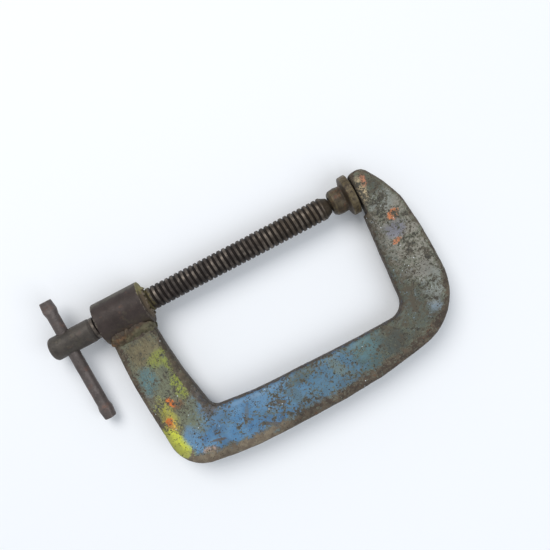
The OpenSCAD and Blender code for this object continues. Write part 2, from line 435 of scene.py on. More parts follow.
# Splashes of other paint: x, y, side, half length along x, half length along y, turn in degrees, colour,
# strength
UPPER, LOWER = 1, -1
SPLASH_DEPTH = 9
SPLASHES = [
    (-242.5, -26, UPPER, 20, 20, 0, OLIVE, 1.0),
    (-231.5, -41, UPPER, 16, 10, 10, TAN, 0.9),
    (-227.5, -72, UPPER, 11, 19, 0, GREEN_GREY, 0.9),
    (-224.5, -50, UPPER, 10, 6.5, 20, LIME, 0.75),
    (-219, -59, UPPER, 3.5, 8, 5, LIME, 0.75),
    (-243.5, -64, UPPER, 11, 11, 0, TEAL, 1.0),
    (-247.5, -72, UPPER, 8, 8, 0, TEAL, 0.8),
    (-251.5, -84, UPPER, 7, 11, 0, MAUVE, 1.0),
    (-241.5, -99, UPPER, 8, 16, 8, MUSTARD, 1.0),
    (-223.5, -108, UPPER, 12, 16, 10, GREEN_GREY, 1.0),
    (-220, -79, UPPER, 5.5, 12, 0, LIME, 1.0),
    (-228.5, -94, UPPER, 6, 5, 0, RUST, 0.8),
    (-233, -89.5, UPPER, 2.8, 5, 10, ORANGE, 1.0),
    (-242.5, -108, UPPER, 6, 8, 0, AMBER, 0.9),
    (-242.5, -105, UPPER, 3.2, 3.2, 0, ORANGE, 1.0),
    (-245.5, -121, UPPER, 9, 17, 12, YELLOW, 0.95),
    (-243, -134, UPPER, 9, 7.5, 0, YELLOW, 0.95),
    (-231.5, -125, UPPER, 7, 10, 0, SKY, 0.8),
    (-220.5, -143.5, UPPER, 6, 3, -10, PINK, 0.9),
    (-210.5, -139, UPPER, 7, 1.3, -15, RED_BROWN, 0.75),
    (-204.5, -111, UPPER, 8, 6, 0, GREY_BROWN, 0.9),
    (-178.5, -131, UPPER, 10, 1.6, 62, OLIVE, 0.55),
    (-162.5, -148, UPPER, 9, 1.6, -28, RED_BROWN, 0.75),
    (-146, -135, UPPER, 4.5, 1.4, -20, RED_BROWN, 0.85),
    (-132.5, -134, UPPER, 5, 10, 15, SEA_GREY, 0.6),
    (-119.5, -122, UPPER, 15, 5, 15, SEA_GREY, 0.7),
    (-87.5, -131, UPPER, 5, 10, 20, GREEN_GREY, 0.6),
    (-57.5, -126, UPPER, 14, 10, 0, TEAL, 0.8),
    (17.5, -122, UPPER, 7, 6, 0, PALE_BLUE, 0.8),
    (24.5, -97, UPPER, 10, 15, 0, STONE, 0.9),
    (21.5, -43, UPPER, 23, 29, 0, WARM_GREY, 0.9),
    (22.5, -73, UPPER, 21, 20, 0, WARM_GREY, 0.85),
    (14.5, -46, UPPER, 9, 8, 0, PLUM, 0.9),
    (19.5, -33, UPPER, 7, 5, 20, ORANGE, 0.7),
    (14.5, -18, UPPER, 10, 9, 0, STONE, 0.8),
    (4.6, 0, UPPER, 4.6, 12, -6, CREAM, 0.95),
    (9.5, 5, UPPER, 2.4, 6, -15, SALMON, 0.85),
    (-238.5, -34, LOWER, 20, 16, 0, OLIVE, 0.9),
    (-231.5, -70, LOWER, 12, 13, 20, TEAL, 0.9),
    (-247.5, -104, LOWER, 7, 14, 10, LIME, 0.75),
    (-191.5, -141, LOWER, 12, 7, 10, MUSTARD, 0.8),
    (-155.5, -128, LOWER, 14, 6, -10, GREEN_GREY, 0.9),
    (-90.5, -144, LOWER, 16, 7, 5, SKY, 0.8),
    (-55.5, -130, LOWER, 5, 4, 0, ORANGE, 0.7),
    (22.5, -90, LOWER, 9, 16, 0, STONE, 0.8),
    (14.5, -20, LOWER, 9, 14, 0, PLUM, 0.7),
    (-30, -140, UPPER, 15, 12, 10, MOSS, 0.75),
    (17.5, -111, UPPER, 8, 9, 0, STONE, 0.8),
    (11.5, -56, UPPER, 5, 2.5, 10, ORANGE, 0.6),
]


def old_paint(name):
    """Several coats of old paint on the forging: blue over grey-green, splashed with other colours,
    chipped and worn."""
    f = Finish(name)
    x, y = f.along(0), f.along(1)
    wobble = f.noise(5.5, 5, 2, 0.62, 0.6)
    swing = f.noise(26, 3, 3)
    speck = f.noise(1.15, 3, 4, 0.6)
    outer, inner, flat, out = (f.kept(key) for key in ("outer", "inner", "flat", "out"))

    # bare metal: brown patina with rust and grey-green remains of the first coat
    bare = f.mix(f.step(f.noise(7, 5, 5, 0.65), 0.38, 0.62), srgb(76, 66, 58), srgb(104, 93, 79))
    bare = f.mix(f.times(f.step(f.noise(3.2, 4, 6, 0.6), 0.58, 0.70), 0.65), bare, srgb(112, 76, 54))
    bare = f.mix(f.times(f.step(f.noise(2.1, 4, 7, 0.6), 0.55, 0.66), 0.7), bare, srgb(122, 124, 108))
    tan = f.mix(f.step(f.noise(6, 5, 28, 0.6), 0.4, 0.6), srgb(141, 129, 110), srgb(119, 106, 91))
    pale = f.times(f.step(f.plus(x, f.sway(swing, 60)), -135.5, -167.5), f.step(y, -128, -140))
    bare = f.mix(f.times(pale, 0.85), bare, tan)
    bare = f.mix(f.times(f.step(speck, 0.62, 0.70), 0.8), bare, DARK)

    # undercoat
    under = f.mix(f.step(f.noise(9, 4, 8), 0.4, 0.62), srgb(106, 110, 92), srgb(92, 84, 68))
    under = f.mix(f.step(speck, 0.58, 0.66), under, srgb(58, 50, 42))

    # top coat: blue on the spine, turning teal and then grey-green towards the anvil, and darker that way, partly
    # as painted shade
    coat = f.mix(f.step(swing, 0.36, 0.64), BLUE, SKY)
    coat = f.mix(f.times(f.step(f.noise(11, 4, 9, 0.5), 0.55, 0.72), 0.55), coat, DEEP)
    coat = f.mix(f.times(f.step(f.noise(6, 3, 10, 0.5, 0, (0.35, 1.6, 1)), 0.56, 0.7), 0.35), coat, TEAL)
    coat = f.mix(f.times(f.step(f.noise(2.6, 4, 23, 0.6), 0.5, 0.68), 0.3), coat, SKY)
    far = f.plus(x, f.sway(wobble, 70))
    # duller and darker towards the anvil: partly the paint's own colour, partly painted shade
    coat = f.mix(f.times(f.step(far, -165.5, -100.5), 0.75), coat, SLATE)
    coat = f.mix(f.step(far, -79.5, -55.5), coat, srgb(74, 96, 98))
    coat = f.mix(f.step(far, -57.5, -33.5), coat, srgb(82, 87, 78))
    blotches = f.times(f.step(f.noise(4, 4, 11, 0.6), 0.58, 0.66), f.step(far, -45.5, -5.5))
    coat = f.mix(blotches, coat, srgb(112, 126, 134))
    brown = f.times(f.step(f.noise(8, 4, 12, 0.6), 0.47, 0.57), f.step(far, -60, -25))
    coat = f.mix(brown, coat, srgb(78, 71, 58))

    # the screw's arm: olive, tan and grey-green, up to a slanting border with the blue
    across = f.plus(f.times(f.less(x, -229.5), 0.8), f.times(f.less(y, -116), -0.6))
    across = f.plus(across, f.sway(wobble, 26))
    arm = f.mix(f.step(f.noise(10, 5, 24, 0.62), 0.42, 0.6), OLIVE, GREEN_GREY)
    arm = f.mix(f.times(f.step(f.noise(6, 5, 25, 0.62), 0.5, 0.64), 0.8), arm, TAN)
    arm = f.mix(f.times(f.step(f.noise(3, 4, 26, 0.62), 0.54, 0.66), 0.7), arm, srgb(88, 92, 76))
    coat = f.mix(f.step(across, 4, -4), coat, arm)

    grain = f.step(f.noise(1.7, 5, 27, 0.68), 0.36, 0.52)
    thick = 0.0
    for k, (px, py, side, rx, ry, turn, colour, strength) in enumerate(SPLASHES):
        offset = f.vector("SUBTRACT", f.place, (px, py, side * FLAT_Z))
        turned = f.node("ShaderNodeVectorRotate", {"Vector": offset, "Angle": -math.radians(turn)},
                        rotation_type="Z_AXIS").outputs[0]
        reach = f.vector("LENGTH", f.vector("MULTIPLY", turned, (1 / rx, 1 / ry, 1 / SPLASH_DEPTH)))
        ragged = f.plus(reach, f.sway((wobble, swing)[k % 2], 1.7))
        ragged = f.plus(ragged, f.sway(speck, 1.2))
        if colour in (ORANGE, YELLOW, RED_BROWN):
            share = f.times(f.step(ragged, 1.15, 0.85), strength)
        else:
            share = f.times(f.step(ragged, 1.38, 0.62), f.blend(grain, 0.55 * strength, strength))
        coat = f.mix(share, coat, colour)
        if colour in (YELLOW, CREAM):
            thick = f.most(thick, share)

    # pale and dark streaks down the screw's arm
    streaked = f.times(f.step(across, 6, -6), f.no(f.times(thick, 0.8)))
    pale_streak = f.step(f.noise(2.2, 4, 47, 0.6, 0.8, (1.5, 0.36, 1)), 0.54, 0.63)
    coat = f.mix(f.times(f.times(pale_streak, streaked), 0.5), coat, srgb(136, 133, 102))
    dark_streak = f.step(f.noise(2.4, 4, 46, 0.6, 0.8, (1.5, 0.36, 1)), 0.53, 0.60)
    coat = f.mix(f.times(f.times(dark_streak, streaked), 0.55), coat, srgb(76, 69, 50))

    # chips: small specks everywhere, larger flakes in clusters, and worn bands along the edges
    crowd = f.noise(17, 4, 13, 0.6)
    specks = f.step(f.cells(2.6, 14), 0.24, 0.14)
    specks = f.times(specks, f.step(f.noise(4.5, 3, 15), 0.47, 0.56))
    fine_specks = f.times(f.step(f.cells(1.5, 29), 0.26, 0.14), f.step(f.noise(7, 4, 30, 0.6), 0.45, 0.55))
    specks = f.most(specks, fine_specks)
    on_thick = f.times(f.step(f.cells(2.4, 43), 0.27, 0.17), f.step(f.noise(4, 3, 44), 0.46, 0.54))
    specks = f.most(specks, f.times(on_thick, f.step(thick, 0.4, 0.8)))
    flakes = f.plus(f.times(f.noise(2.5, 5, 16, 0.68, 0.4), 0.75), f.times(crowd, 0.46))
    calm = f.times(f.step(x, -145, -195), f.step(y, -110, -122))
    flakes = f.less(flakes, f.times(calm, 0.032))
    flaked = f.step(flakes, 0.690, 0.715)
    broad = f.plus(f.times(f.noise(5.5, 6, 41, 0.72, 0.15), 0.78), f.times(f.noise(24, 3, 42), 0.42))
    broad = f.less(broad, f.times(f.no(f.step(x, -165, -140)), 0.048))
    flaked = f.most(flaked, f.times(f.step(broad, 0.672, 0.690), 0.9))
    halo = f.most(f.step(flakes, 0.625, 0.67), f.step(broad, 0.640, 0.668))
    arm_side = f.times(f.step(f.plus(x, f.times(swing, 8)), -195.5, -207.5), f.step(y, -122, -110))
    raw_outer = f.plus(outer, f.sway(wobble, -16))
    raw_inner = f.plus(inner, f.sway(wobble, -8))
    raw_outer = f.plus(raw_outer, f.sway(speck, -7))
    raw_inner = f.plus(raw_inner, f.sway(speck, -5))
    spine = f.step(f.plus(y, f.times(swing, 6)), -118, -134)
    anvil_arm = f.times(f.step(x, -12, 8), f.step(y, -108, -92))
    width = f.less(f.blend(spine, 5.4, 9.2), f.times(anvil_arm, 2.8))
    inner_width = f.blend(arm_side, f.blend(f.step(x, -30, 0), 0.6, 1.2),
                          f.blend(f.step(y, -30, -95), 3.4, 7.0))
    band = f.step(f.less(raw_outer, width), 0.6, -0.6)
    band_halo = f.step(f.less(raw_outer, width), 3.2, 1.2)
    inner_band = f.step(f.less(raw_inner, inner_width), 0.6, -0.6)
    wall = f.step(flat, 0.62, 0.35)
    # painted shade: a darker blue on the spine's inner wall, a shaded copy of the blue paint
    inside = f.times(f.times(wall, f.step(inner, 4, 2)),
                     f.times(f.step(x, -203.5, -191.5), f.step(y, -96, -104)))
    coat = f.mix(f.times(inside, 0.85), coat, srgb(52, 66, 104))
    wall_bare = f.times(wall, f.step(f.plus(wobble, f.times(speck, 0.4)), 0.60, 0.72))
    rub = f.times(f.step(out, 0.05, 0.13), f.step(wobble, 0.30, 0.46))
    saved = f.step(f.noise(8, 4, 17, 0.6), 0.62, 0.68)
    band = f.times(band, f.times(f.no(saved), f.no(f.times(thick, 0.8))))
    kept_paint = f.no(f.times(thick, 0.7))
    edge_bare = f.most(f.most(band, f.times(inner_band, 0.9)), f.times(f.most(rub, wall_bare), kept_paint))
    halo = f.times(halo, kept_paint)
    band_halo = f.times(band_halo, kept_paint)
    undercoat = f.most(f.most(halo, f.times(band_halo, 0.9)), f.step(specks, 0.1, 0.5))
    missing = f.most(f.most(f.times(flaked, 0.95), edge_bare), specks)

    colour = f.mix(f.times(undercoat, 0.85), coat, under)
    colour = f.mix(missing, colour, bare)
    steel = f.mix(f.step(f.noise(2.2, 4, 6, 0.6), 0.42, 0.6), srgb(58, 60, 57), srgb(88, 86, 76))
    colour = f.mix(f.times(flaked, f.times(f.no(edge_bare), 0.75)), colour, steel)
    colour = f.mix(f.times(specks, 0.9), colour, srgb(46, 44, 42))
    dots = f.times(f.step(f.cells(5.2, 18), 0.105, 0.075), f.step(crowd, 0.5, 0.58))
    colour = f.mix(dots, colour, srgb(214, 220, 222))
    # grime in noise patches, plus painted shade: darker in the frame's concave corners and on its side walls
    grime_and_shade = f.times(f.step(f.noise(20, 4, 19), 0.45, 0.7), 0.28)
    grime_and_shade = f.most(grime_and_shade, f.step(out, -0.03, -0.12))
    grime_and_shade = f.most(grime_and_shade, f.times(wall, 0.42))
    colour = f.mix(f.times(grime_and_shade, kept_paint), colour, srgb(50, 44, 40))

    painted = f.no(f.most(missing, f.times(undercoat, 0.5)))
    rough = f.plus(f.blend(painted, 0.68, 0.40), f.times(f.noise(2.5, 3, 20), 0.12))
    metal = f.times(missing, 0.35)
    brush = f.noise(3.0, 2, 21, 0.5, 0, (0.4, 2.0, 1))
    bumps = [(painted, 0.16), (brush, 0.05), (f.noise(0.9, 3, 22, 0.6), 0.04), (f.no(dots), -0.05)]
    return f.done(colour, rough, metal, bumps, 0.4)


# ---------------------------------------------------------------- frame

def build_frame():
    """The forging: the CAD shape remeshed finely, then given a hammered surface, nicked edges and pits."""
    source = frame["nodes"]["frame"]
    piece = bpy.data.objects.new("forged_frame", source.data.copy())
    bpy.context.scene.collection.objects.link(piece)
    remesh = piece.modifiers.new("remesh", "REMESH")
    remesh.mode = "VOXEL"
    remesh.voxel_size = VOXEL * MM
    smooth = piece.modifiers.new("smooth", "SMOOTH")
    smooth.factor = 0.5
    smooth.iterations = 3
    evaluated = piece.evaluated_get(bpy.context.evaluated_depsgraph_get())
    made = bpy.data.meshes.new_from_object(evaluated)
    made.name = "forged_frame"
    piece.modifiers.clear()
    piece.data = made

    points, normals = read(made), read(made, "normal")
    out = convexity(made)
    edge = smoothstep(out, 0.04, 0.14)
    move = 0.30 * field(points, 42, 2, 1) + 0.10 * field(points, 11, 2, 2) + 0.045 * field(points, 2.6, 2, 3)
    move -= 0.30 * dimples(points, 9, 4) * (field(points, 15, 1, 5) > 0.1)
    nick = np.clip(field(points, 5.5, 2, 6) - 0.18, 0, 1)
    move -= edge * (1.5 * nick + 0.25 * np.clip(field(points, 1.8, 1, 7), 0, 1))
    anvil = (np.abs(points[:, 0]) < 1.2) & (points[:, 1] > -24)
    move[anvil] = 0.25 * np.minimum(move[anvil], 0)
    move -= 0.12
    points = points + normals * np.clip(move, -1.3, 0.25)[:, None]
    low, high = box_mm("frame")
    points = np.clip(points, np.array(low), np.array(high))
    write(made, points)

    # how far each vertex is, across the flat, from the outer and the inner wall
    normals = read(made, "normal")
    flat = np.abs(normals[:, 2])
    middle = np.array([BOSS_HIGH.x / 2, -60.0])
    away = ((points[:, :2] - middle) * normals[:, :2]).sum(1) > 0
    for name, chosen in (("outer", away), ("inner", ~away)):
        walls = np.flatnonzero((flat < 0.25) & chosen)[::3]
        tree = kdtree.KDTree(len(walls))
        for i in walls:
            tree.insert((points[i, 0], points[i, 1], 0), int(i))
        tree.balance()
        distance = np.array([tree.find((p[0], p[1], 0))[2] for p in points])
        store(made, name, distance)
    store(made, "flat", flat)
    store(made, "out", convexity(made))
    shade(piece, 60)
    finish(piece, "frame", "frame_paint", old_paint("frame_paint_worn"), "frame")


# ---------------------------------------------------------------- thread

THREAD_START = SCREW_LOW.x + HEAD_LEN
THREAD_END = PAD_LOW.x - CONE_LEN


def thread_depth(along, angle):
    """1 at a thread's root and 0 on its crest, for a right-hand thread with rounded crests."""
    phase = (along / PITCH - angle / (2 * math.pi)) % 1.0
    distance = np.abs(phase - 0.5)
    return smoothstep(distance, 0.29, 0.03)


def screw_radius(along, angle, r):
    depth = thread_depth(along, angle)
    ends = smoothstep(along, THREAD_START - 1, THREAD_START + 5)
    ends = ends * smoothstep(along, THREAD_END + 0.5, THREAD_END - 4)
    wear = 0.10 * np.sin(along * 0.11 + 1) + 0.06 * np.sin(angle * 3 + along * 0.4)
    # dirt packed into the grooves just outside the boss. It rides with the screw, so it cuts into the
    # boss's thread, out of sight, while it passes through the bore.
    mouth = BOSS_HIGH.x
    packed = smoothstep(along, mouth + 6.5, mouth + 2.5) * smoothstep(along, mouth - 0.5, mouth + 1.5)
    lumps = 0.5 + 0.35 * np.sin(angle * 2 + 1) + 0.25 * np.sin(angle * 5 + along)
    depth = depth * (1 - packed * np.clip(lumps, 0, 1))
    threaded = np.abs(r - CREST_R) < 1e-6
    cut = depth * (CREST_R - ROOT_R) + 0.05 * (1 - depth) * (1 + wear)
    return np.where(threaded, r - ends * cut, r)


def screw_material():
    """Dark oiled thread with rubbed crests and painted shade darkening its grooves, browner near the pad and
    painted over beside the boss, and a dull brown head."""
    f = Finish("screw_steel_oiled")
    x, crest, root = f.along(0), f.kept("crest"), f.kept("root")
    clouds, fine = f.noise(12, 4, 31), f.noise(1.5, 4, 32, 0.65)
    dark = f.mix(f.step(clouds, 0.36, 0.64), srgb(54, 47, 44), srgb(42, 37, 35))
    brown = f.mix(f.step(clouds, 0.36, 0.64), srgb(72, 61, 48), srgb(55, 47, 38))
    colour = f.mix(f.step(f.plus(x, f.times(clouds, 60)), -110, 0), dark, brown)
    head = f.step(x, THREAD_START + 4, THREAD_START - 2)
    dull = f.mix(f.step(clouds, 0.38, 0.62), srgb(76, 70, 65), srgb(62, 57, 53))
    dull = f.mix(f.times(f.step(f.noise(7, 4, 33, 0.6), 0.52, 0.68), 0.3), dull, srgb(84, 79, 64))
    dull = f.mix(f.times(f.step(f.noise(8, 5, 34, 0.6), 0.56, 0.68), 0.6), dull, srgb(84, 64, 54))
    colour = f.mix(head, colour, dull)
    colour = f.mix(f.times(f.step(fine, 0.52, 0.74), 0.35), colour, srgb(106, 96, 86))
    rubbed = f.step(f.noise(9, 4, 35, 0.6), 0.44, 0.66)
    worn = f.times(crest, f.blend(rubbed, 0.06, 0.62))
    colour = f.mix(worn, colour, srgb(122, 112, 102))
    # painted shade: the thread's roots are darkened
    colour = f.mix(f.times(root, 0.85), colour, srgb(34, 28, 25))
    pits = f.times(f.step(f.cells(1.7, 36), 0.28, 0.10), f.step(f.noise(6, 2, 37), 0.46, 0.6))
    colour = f.mix(f.times(pits, 0.7), colour, srgb(34, 29, 26))
    dirt = f.step(f.plus(x, f.times(f.noise(4, 4, 40, 0.6), 9)), BOSS_HIGH.x + 16, BOSS_HIGH.x + 9)
    inner_side = f.step(x, BOSS_HIGH.x - 7, BOSS_HIGH.x - 1)
    dirt = f.times(f.times(dirt, inner_side), 0.75)
    colour = f.mix(dirt, colour, f.mix(f.step(fine, 0.4, 0.6), srgb(50, 42, 34), srgb(78, 69, 53)))
    painted = f.step(f.plus(x, f.times(f.noise(3.5, 4, 45, 0.6), 14)), BOSS_HIGH.x + 14.5, BOSS_HIGH.x + 12)
    painted = f.times(f.times(painted, inner_side), f.times(f.no(root), 0.8))
    colour = f.mix(painted, colour, srgb(100, 92, 58))
    edge = f.times(f.step(f.kept("out"), 0.05, 0.16), f.step(f.noise(2.3, 3, 38), 0.35, 0.55))
    colour = f.mix(f.times(edge, 0.55), colour, srgb(118, 110, 98))
    rough = f.less(f.blend(clouds, 0.46, 0.62), f.times(worn, 0.24))
    rough = f.plus(rough, f.times(dirt, 0.15))
    metal = f.blend(head, 0.55, 0.25)
    return f.done(colour, rough, metal, [(f.no(pits), 0.10), (fine, 0.05), (f.noise(4.5, 3, 39), 0.10)], 0.4)


def build_screw():
    """Head with a domed end and a cross hole, right-hand thread, cone, neck and ball, as one forging."""
    start, head_end = SCREW_LOW.x + 0.15, THREAD_START
    head = rounded([(start, 0, 0), (start, HEAD_R, HEAD_DOME), (head_end - 1.2, HEAD_R, 1.2),
                    (head_end, CREST_R, 0.3)], 0.6)
    steps = int((THREAD_END - head_end) / (PITCH / 20))
    shaft = np.stack([np.linspace(head_end, THREAD_END, steps + 1)[1:], np.full(steps, CREST_R)], 1)
    join = BALL_X - math.sqrt(BALL_R ** 2 - NECK_R ** 2)
    tip = rounded([(THREAD_END, CREST_R, 0), (THREAD_END + 0.6, CREST_R - 0.7, 0.4),
                   (PAD_LOW.x - 1.6, CONE_TIP_R, 0.5), (PAD_LOW.x - 1.0, NECK_R, 0.4),
                   (join, NECK_R, 0)], 0.4)[1:]
    turn = np.linspace(math.pi - math.asin(NECK_R / BALL_R), 0, 30)
    ball = np.stack([BALL_X + BALL_R * np.cos(turn), BALL_R * np.sin(turn)], 1)[1:]
    ball[-1, 1] = 0
    profile = np.vstack([head, shaft, tip, ball])
    profile[0, 1] = profile[-1, 1] = ON_AXIS
    piece = lathe("screw_threaded", profile, 72, radius=screw_radius)
    roughen(piece, [(30, 0.10, 2, 11), (5, 0.05, 2, 12), (1.8, 0.025, 1, 13)], [(6, 0.12, 14)])

    reach = HEAD_R + 2
    wide, bevel_at = HOLE_R + 3.4, HEAD_R - 1.1
    cutter_profile = rounded([(-reach, ON_AXIS, 0), (-reach, wide, 0), (-bevel_at, HOLE_R, 1.2),
                              (bevel_at, HOLE_R, 1.2), (reach, wide, 0), (reach, ON_AXIS, 0)], 0.7)
    cutter = lathe("cutter", cutter_profile, 48, BAR_AXIS, (HOLE_X, 0, 0))
    cut = piece.modifiers.new("hole", "BOOLEAN")
    cut.operation, cut.solver, cut.object = "DIFFERENCE", "EXACT", cutter
    made = bpy.data.meshes.new_from_object(piece.evaluated_get(bpy.context.evaluated_depsgraph_get()))
    piece.modifiers.clear()
    piece.data = made
    bpy.data.objects.remove(cutter)

    points = read(made)
    radius = np.hypot(points[:, 1], points[:, 2])
    threaded = (points[:, 0] > THREAD_START + 1) & (points[:, 0] < THREAD_END)
    crest = threaded * smoothstep(radius, CREST_R - 0.38, CREST_R - 0.06)
    root = threaded * smoothstep(radius, ROOT_R + 0.95, ROOT_R + 0.2)
    store(made, "crest", crest)
    store(made, "root", root)
    store(made, "out", np.where(threaded, 0, convexity(made)))
    shade(piece, 50)
    finish(piece, "screw", "screw_steel", screw_material(), "screw")


# ---------------------------------------------------------------- boss, welds, bar and pad

def build_boss():
    """The tube that the screw runs in, threaded inside, with a countersunk mouth and hammered rims."""
    a, b = BOSS_LOW.x, BOSS_HIGH.x
    bore = CREST_R + BORE_GAP
    outside = rounded([(a, bore + 0.9, 0), (a, BOSS_R, 0.7), (b, BOSS_R, 0.6), (b, bore + 1.0, 0.4)], 0.7)
    bore_x = np.linspace(b - 1.0, a + 0.9, int((b - a) / (PITCH / 12)))
    inside = np.stack([bore_x, np.full(len(bore_x), bore)], 1)
    profile = np.vstack([outside, inside])

    def radius(along, angle, r):
        inner = np.abs(r - bore) < 1e-6
        ends = smoothstep(along, a + 0.5, a + 3) * smoothstep(along, b - 5, b - 9)
        ridge = thread_depth(along, angle)
        return np.where(inner, r - ends * smoothstep(ridge, 0.55, 1) * (CREST_R - ROOT_R - 0.35), r)

    piece = lathe("boss_tube", profile, 112, loop=True, radius=radius)
    points, normals = read(piece.data), read(piece.data, "normal")
    r = np.hypot(points[:, 1], points[:, 2])
    skin = smoothstep(r, bore + 2, bore + 4)
    move = 0.16 * field(points, 24, 2, 41) + 0.06 * field(points, 5, 2, 42) + 0.03 * field(points, 1.8, 1, 43)
    move -= 0.22 * dimples(points, 8, 44) * (field(points, 13, 1, 45) > 0)
    move = np.minimum(move - 0.16, -0.02)
    points = points + normals * (move * skin)[:, None]
    # a lip of paint and dirt, built up round the screw at the inner mouth
    ring = smoothstep(points[:, 0], b - 1.6, b - 0.4) * smoothstep(r, bore + 6.5, bore + 1.0)
    lump = np.clip(0.62 + 0.9 * field(points, 5, 2, 46) + 0.3 * points[:, 2] / bore, 0, 1)
    points[:, 0] += LIP * ring * lump
    write(piece.data, points)
    out = convexity(piece.data)
    store(piece.data, "out", np.where(r < bore + 0.5, 0, out))
    face = smoothstep(points[:, 0], b - 0.9, b - 0.25) * smoothstep(r, bore - 0.5, bore + 1)
    store(piece.data, "face", face)
    shade(piece, 45)

    f = Finish("boss_steel_patina")
    clouds, fine = f.noise(13, 4, 51), f.noise(1.3, 4, 52, 0.65)
    colour = f.mix(f.step(clouds, 0.36, 0.64), srgb(60, 50, 47), srgb(49, 40, 37))
    colour = f.mix(f.times(f.step(fine, 0.54, 0.74), 0.3), colour, srgb(84, 74, 68))
    green = f.times(f.step(f.noise(8, 5, 53, 0.65), 0.56, 0.70), 0.35)
    colour = f.mix(green, colour, srgb(84, 78, 62))
    bloom = f.times(f.step(f.noise(6, 5, 54, 0.65), 0.62, 0.74), 0.4)
    colour = f.mix(bloom, colour, srgb(104, 72, 54))
    # painted highlight: a lighter olive-grey along the top of the boss
    high = f.plus(f.along(1), f.times(f.noise(7, 5, 62, 0.65), 11))
    top = f.times(f.step(high, 20.5, 24.5), 0.5)
    colour = f.mix(top, colour, srgb(94, 91, 78))
    drip = f.times(f.step(f.along(1), -6, -17), f.step(f.noise(5, 4, 55, 0.6), 0.36, 0.56))
    colour = f.mix(f.times(drip, 0.45), colour, srgb(84, 74, 56))
    mask = f.kept("face")
    ragged = f.step(f.plus(mask, f.sway(f.noise(3, 4, 56, 0.65), 1.3)), 0.35, 0.6)
    height = f.plus(f.along(1), f.times(f.noise(4, 4, 57), 14))
    old = f.mix(f.step(height, 19, 14), srgb(118, 110, 66), srgb(86, 73, 56))
    from_axis = f.vector("LENGTH", f.vector("MULTIPLY", f.place, (0, 1, 1)))
    old = f.mix(f.times(f.step(from_axis, CREST_R + 3.2, CREST_R + 0.8), 0.7), old, srgb(62, 53, 36))
    rim = f.times(f.step(from_axis, BOSS_R - 5.5, BOSS_R - 2.5), f.step(height, 17, 12))
    old = f.mix(f.times(rim, 0.8), old, srgb(58, 49, 44))
    colour = f.mix(f.times(ragged, f.step(mask, 0.05, 0.3)), colour, old)
    pits = f.times(f.step(f.cells(1.7, 58), 0.28, 0.10), f.step(f.noise(7, 2, 59), 0.45, 0.6))
    colour = f.mix(f.times(pits, 0.7), colour, DARK)
    edge = f.times(f.step(f.kept("out"), 0.04, 0.14), f.step(f.noise(2.5, 3, 60), 0.48, 0.62))
    colour = f.mix(f.times(edge, 0.55), colour, srgb(130, 120, 106))
    rough = f.plus(f.blend(clouds, 0.42, 0.60), f.times(f.most(bloom, ragged), 0.12))
    metal = f.times(f.no(f.most(f.most(ragged, bloom), pits)), 0.25)
    bumps = [(f.no(pits), 0.12), (fine, 0.06), (f.noise(5, 3, 61), 0.12)]
    finish(piece, "frame", "boss_steel", f.done(colour, rough, metal, bumps, 0.35), "screw_boss")


def weld_material():
    """Rusty brown at the boss's outer end, with the arm's olive paint over the inner end."""
    f = Finish("weld_steel_rusty")
    crevice_shade = f.step(f.kept("out"), -0.02, -0.16)
    colour = f.mix(f.step(f.noise(5, 5, 71, 0.62), 0.40, 0.60), srgb(86, 72, 54), srgb(66, 52, 38))
    colour = f.mix(f.times(f.step(f.noise(5, 5, 72, 0.65), 0.50, 0.64), 0.65), colour, srgb(112, 78, 50))
    border = f.plus(f.along(0), f.sway(f.noise(6, 4, 73, 0.6), 50))
    border = f.less(border, f.times(f.plus(f.along(1), 20), 4))
    colour = f.mix(f.times(f.step(border, -239.5, -221.5), 0.85), colour, srgb(94, 90, 68))
    colour = f.mix(f.times(f.step(f.noise(4, 4, 76, 0.6), 0.56, 0.66), 0.5), colour, srgb(104, 99, 74))
    colour = f.mix(f.times(f.step(f.noise(3.5, 4, 78, 0.6), 0.56, 0.66), 0.7), colour, srgb(50, 40, 31))
    # painted shade: darker brown in the bead's hollows
    colour = f.mix(f.times(crevice_shade, 0.8), colour, srgb(54, 42, 32))
    # painted shadow: darker where the bead runs up against the boss
    shade_by_boss = f.step(f.plus(f.along(1), f.sway(f.noise(4, 4, 77, 0.6), 9)), -18.5, -14.5)
    colour = f.mix(f.times(shade_by_boss, 0.8), colour, srgb(58, 49, 43))
    # painted highlight: a pale tan on the bead's raised lumps
    colour = f.mix(f.times(f.step(f.kept("out"), 0.06, 0.25), 0.3), colour, srgb(134, 116, 90))
    fine = f.noise(0.8, 3, 74, 0.6)
    return f.done(colour, f.blend(fine, 0.5, 0.78), 0.1, [(fine, 0.08), (f.noise(2.2, 3, 75), 0.15)], 0.4)


